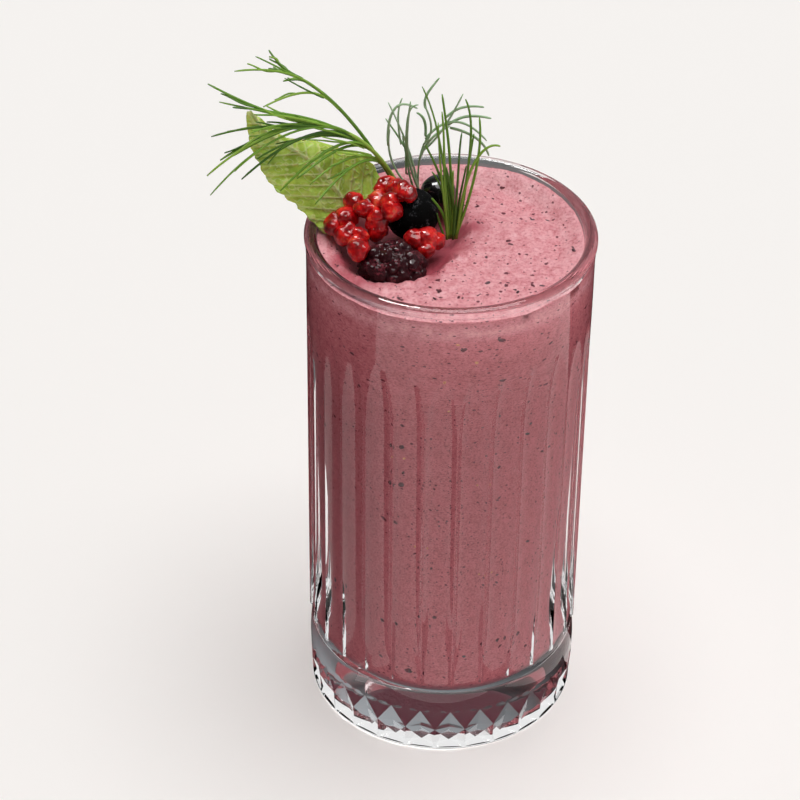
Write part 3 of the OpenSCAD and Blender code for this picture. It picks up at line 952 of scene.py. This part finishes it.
along = np.linspace(0, 1, 220)[:, None]
across = np.linspace(-1, 1, 161)[None, :]
midrib = np.interp(along, [0, 0.3, 0.5, 0.8, 1], [10, 9, 6.8, 1.2, 0])
left_reach = np.interp(along, [0, 0.05, 0.3, 0.47, 0.6, 0.8, 0.95, 1],
                       [8.5, 10.5, 10.8, 12, 10.5, 5.8, 1.8, 0.2])
right_reach = np.interp(along, [0, 0.15, 0.3, 0.42, 0.56, 0.7, 0.9, 1],
                        [11.5, 13.4, 12.2, 9, 6.5, 2.4, 1.6, 0.2])
teeth = 1 + 0.05 * np.abs(2 * ((along * TEETH) % 1) - 1) * smoothstep(0.05, 0.2, along)
reach = np.where(across < 0, left_reach, right_reach) * teeth * across
from_rib = np.abs(reach)
rise = along * LEAF_LENGTH - 0.75 * from_rib - 0.012 * from_rib ** 2
rise = rise + np.where(across < 0, 0, VEIN_STEP / 2)  # the two sides' veins alternate
to_vein = np.abs((rise / VEIN_STEP) % 1 - 0.5) * VEIN_STEP
side_vein = np.exp(-(to_vein / VEIN_HALF) ** 2) * (1 - 0.5 * np.abs(across))
rib = np.exp(-(from_rib / RIB_HALF) ** 2)
net = np.abs(lattice_noise(along * LEAF_LENGTH, reach, 0 * reach, 1.25, 50))
fine_vein = np.exp(-(net / NET_HALF) ** 2) * (1 - side_vein)
vein = np.clip(rib + side_vein + 0.65 * fine_vein, 0, 1)
sag = 0.5 * np.sin(math.pi * ((rise / VEIN_STEP) % 1 + 0.5) * 2) * smoothstep(1, 5, from_rib)
wave = 1.2 * across ** 2 + 0.5 * across ** 2 * np.sin(9 * along + 2 * across)
wave = wave + 0.9 * lattice_noise(along * LEAF_LENGTH, reach, 0 * reach, 6.0, 52)
lift = -wave + 0.5 * rib + 0.34 * side_vein + 0.22 * fine_vein + 0.35 * sag
sheet = LEAF_BASE + (along * LEAF_LENGTH)[..., None] * LEAF_ALONG
sheet = sheet + (midrib + reach)[..., None] * LEAF_ACROSS
front = sheet + lift[..., None] * LEAF_OFF
back = sheet + (lift - LEAF_T)[..., None] * LEAF_OFF
leaf_rows = np.concatenate([front, back[:, ::-1]], axis=1)
ring_count = leaf_rows.shape[1]
leaf_points = leaf_rows.reshape(-1, 3)
leaf_faces = grid_quads(len(along), ring_count)[:, ::-1].tolist()
strip = np.arange(across.size - 1)
for first, flip in ((0, False), ((len(along) - 1) * ring_count, True)):
    quad = np.stack([strip, strip + 1, ring_count - 2 - strip, ring_count - 1 - strip], axis=-1) + first
    leaf_faces += (quad[:, ::-1] if flip else quad).tolist()

# %% Leaf material and piece
leaf_skin, tree, output = new_material("mint")
coords = object_coords(tree)
blotch = noise(tree, coords, 4.0, 3.0, 0.6)
blade = ramp(tree, blotch, (0.34, (0.34, 0.49, 0.055)), (0.52, (0.5, 0.68, 0.1)), (0.7, (0.66, 0.8, 0.24)))
leaf_colour = mix_colour(tree, stored(tree, "vein"), blade, LEAF_VEIN_COLOUR)
leaf_shader = principled(tree, output, Base_Color=leaf_colour, Roughness=0.55, Specular_IOR_Level=0.2,
                         Subsurface_Weight=0.3, Subsurface_Scale=0.001)
bump(tree, leaf_shader, noise(tree, coords, 0.6, 3.0), 0.1)
leaf = add_piece("leaf", leaf_points, leaf_faces, leaf_skin, "mint", ["mint_leaf"])
store(leaf, "vein", np.concatenate([vein, 0.3 * vein[:, ::-1]], axis=1))

# %% [markdown]
# ## Dill
# Every strand is a tube round a quadratic curve, thin at its tip, with its own shade. The left sprig is two
# stems with needles, each needle with two finer hairs; a needle leaves along its stem and bends to its tip.
# The other two sprigs are lists of strands.

# %% Curves and tubes
def curve_at(curve, t):
    """Point of a quadratic curve given by its start, control and end."""
    t = np.asarray(t)[..., None]
    return (1 - t) ** 2 * curve[..., 0, :] + 2 * t * (1 - t) * curve[..., 1, :] + t ** 2 * curve[..., 2, :]


def slope_at(curve, t):
    """Unit direction of the curve."""
    t = np.asarray(t)[..., None]
    way = (1 - t) * (curve[..., 1, :] - curve[..., 0, :]) + t * (curve[..., 2, :] - curve[..., 1, :])
    return way / np.linalg.norm(way, axis=-1, keepdims=True)


def needles_of(stem, listed, stiff):
    """Quadratic curves from the stem to each listed tip, leaving along the stem for a stiff share."""
    t = np.array([entry[0] for entry in listed])
    tips = np.array([entry[1] for entry in listed], float)
    starts = curve_at(stem[None], t)
    length = np.linalg.norm(tips - starts, axis=1, keepdims=True)
    return np.stack([starts, starts + stiff * length * slope_at(stem[None], t), tips], axis=1)


def hairs_of(needles, rng):
    """Short side branches, two to a needle, turned off its direction by a random lean."""
    longest = 16
    grown = []
    for t, share in ((0.25, 0.6), (0.6, 0.3)):
        starts = curve_at(needles, np.full(len(needles), t))
        way = slope_at(needles, np.full(len(needles), t))
        length = np.linalg.norm(needles[:, 2] - needles[:, 0], axis=1, keepdims=True)
        length = np.minimum(length * share, longest)
        lean = way + rng.normal(0, 0.13, way.shape)
        lean /= np.linalg.norm(lean, axis=1, keepdims=True)
        grown.append(np.stack([starts, starts + 0.5 * length * way, starts + length * lean], axis=1))
    return np.concatenate(grown)


def tubes(curves, radii, rng, shades, steps=22, sides=7):
    """Closed tubes round many curves at once, with a slight wander; also a shade for each point."""
    t = np.linspace(0, 1, steps)
    middle = curve_at(curves[:, None], t[None])
    way = slope_at(curves[:, None], t[None])
    side = np.cross(way, [0.36, -0.86, 0.36])  # no strand runs along this direction
    side /= np.linalg.norm(side, axis=-1, keepdims=True)
    other = np.cross(way, side)
    sway = rng.uniform(-1, 1, (len(curves), 2, 1, 1)) * np.sin(t * math.pi * 1.5)[None, :, None] * 0.5
    middle = middle + side * sway[:, 0] + other * sway[:, 1]
    radius = radii[:, None] * np.interp(t, [0, 0.05, 0.6, 0.97, 1], [0.8, 1, 0.95, 0.7, 0.4])[None]
    turn = np.linspace(0, 2 * math.pi, sides, endpoint=False)
    around_it = side[:, :, None] * np.cos(turn)[None, None, :, None]
    around_it = around_it + other[:, :, None] * np.sin(turn)[None, None, :, None]
    ring = middle[:, :, None] + radius[:, :, None, None] * around_it
    block = steps * sides
    points = np.concatenate([ring.reshape(len(curves), block, 3), middle[:, :1], middle[:, -1:]], axis=1)
    last = np.arange(sides) + block - sides
    faces = []
    for start in range(0, len(curves) * (block + 2), block + 2):
        faces += grid_quads(steps, sides, start=start).tolist()
        faces += (fan(np.arange(sides), block, flip=True) + start).tolist()
        faces += (fan(last, block + 1) + start).tolist()
    shade = np.repeat(rng.uniform(*shades, len(curves)), block + 2)
    return points.reshape(-1, 3), faces, shade


# %% Dill material
dill_skin, tree, output = new_material("dill")
strand_colour = ramp(tree, stored(tree, "shade"), (0.0, (0.06, 0.15, 0.02)), (0.4, (0.18, 0.36, 0.035)),
                     (0.78, (0.4, 0.6, 0.09)), (0.82, (0.26, 0.46, 0.2)), (1.0, (0.5, 0.68, 0.42)))
principled(tree, output, Base_Color=strand_colour, Roughness=0.42, Specular_IOR_Level=0.3)
print("dill shades: fresh green up to 0.78, greyer green from 0.82")

# %% Sprigs
# Points are millimetres from the middle of the drink's top; a needle is its place on the stem and its tip.
LEFT_STEM = [[-12, 20, -1], [-21, 14, 26], [-34, 8, 31]]
LEFT_NEEDLES = [[0.98, [-64, 6, 44]], [0.92, [-61, 4, 40]], [0.86, [-52, 5, 38]], [0.95, [-63, 2, 30]],
                [0.83, [-61, 0, 25]], [0.89, [-64, -2, 21]], [0.8, [-63, -4, 16]], [0.74, [-58, 0, 26]],
                [0.4, [-41, 0, 20]], [0.33, [-37, -1, 18]], [0.5, [-44, 5, 27]], [0.58, [-51, 0, 25]],
                [0.28, [-36, -2, 13]], [0.46, [-45, -2, 17]], [0.64, [-55, -2, 20]]]
HIGH_STEM = [[-12, 20, -1], [-32, 9, 45], [-46, 19, 41]]
HIGH_NEEDLES = [[0.85, [-49, 21, 46]], [0.79, [-49, 18, 42]], [0.72, [-45, 15, 40]], [0.6, [-57, 8, 47]],
                [0.5, [-50, 6, 38]]]
# Start, control and tip of each strand as x and height; depth follows from the height.
BACK_STRANDS = [[-9, -1, -19, 12, -17.5, 21], [-17.5, 16, -18, 33, -9.5, 28], [-9, 0, -10.5, 14, -17.5, 30],
                [-9, 1, -11, 13, -18, 23.5], [-12.5, 7, -14.5, 29, -9.5, 29], [-9, 2, -13.5, 17, -12, 31],
                [-9, -1, -9.5, 17, -5.5, 21], [-8, 17, -4.5, 22, -7.5, 29.5], [-7.5, 27, -8, 31, -4.5, 36.5],
                [-7.5, 19, -7, 25, -10, 26.5], [-8.5, 14, -3, 19, 2.5, 32.5], [-2, 25, 2.5, 29.5, 8, 28.5],
                [-1.5, 22, 4, 26, 10, 24.5], [-7.5, 18, 0.5, 29, 9, 18], [-1, 21, 7.5, 20, 9.5, 12.5],
                [-9, 12, -6.5, 20, -1, 23], [-9.5, 0, -11.5, 7, -14, 19], [-14, 16, -16.5, 22, -13.5, 30]]
FRONT_STRANDS = [[-0.5, -1, -1.5, 30, -8.5, 44.5], [0, -1, -0.5, 25, -3, 40], [-1, -1, -1.5, 21, -3.5, 37],
                 [1.5, -1, 7.5, 29, 2.5, 40], [-0.5, -1, -1.5, 16, -7, 27], [-0.5, -1, -0.5, 12, -5.5, 18.5],
                 [1, -1, 4, 17, 5.5, 28], [1.5, -1, 5, 30, 12.5, 27.5], [1, -1, 8.5, 20, 6.5, 35],
                 [-0.5, -1, -3.5, 19, -4, 33.5], [0.5, -1, 1, 19, 2.5, 31], [-1, -1, -2.5, 8, -5, 11],
                 [-1.5, -1, -3.5, 5, -4, 7], [1, -1, 3, 5, 4.5, 11.5], [0, -1, 0, 10, 0.5, 19],
                 [1, -1, 2, 11, 3.5, 20.5], [0, -1, -1, 13, -2, 23], [1, -1, 0.5, 11, -1.5, 21]]


def strands_of(listed, base_y, lean, rng):
    """Quadratic curves from lists of x and height, leaning back with height and fanned out in depth."""
    flat = np.array(listed, float).reshape(-1, 3, 2)
    fanned = rng.normal(0, 0.06, (len(flat), 1))
    y = base_y + (lean + fanned) * flat[..., 1] + rng.normal(0, 0.4, (len(flat), 1))
    return np.stack([flat[..., 0], y, flat[..., 1]], axis=-1)


def sprig(name, node, curves, radii, rng, shades):
    """One piece from all the strands of a sprig."""
    points, faces, shade = tubes(np.concatenate(curves), np.concatenate(radii), rng, shades)
    obj = add_piece(name, points + [0, 0, LEVEL], faces, dill_skin, "dill", [node])
    store(obj, "shade", shade)


rng = np.random.default_rng(61)
curves, radii = [], []
for stem_points, listed, thick in ((LEFT_STEM, LEFT_NEEDLES, 0.6), (HIGH_STEM, HIGH_NEEDLES, 0.5)):
    stem = np.array(stem_points, float)
    needles = needles_of(stem, listed, 0.5)
    hairs = hairs_of(needles, rng)
    curves += [stem[None], needles, hairs]
    radii += [[thick], rng.uniform(0.32, 0.44, len(needles)), rng.uniform(0.24, 0.32, len(hairs))]
sprig("dill_left", "dill_sprig_left", curves, radii, rng, (0, 0.78))
for name, node, listed, base_y, lean, shades in (
        ("dill_back", "dill_sprig_back", BACK_STRANDS, 24, 0.0, (0.82, 1)),
        ("dill_front", "dill_sprig_front", FRONT_STRANDS, 4.5, 0.1, (0, 0.7))):
    strands = strands_of(listed, base_y, lean, rng)
    sprig(name, node, [strands], [rng.uniform(0.28, 0.42, len(strands))], rng, shades)
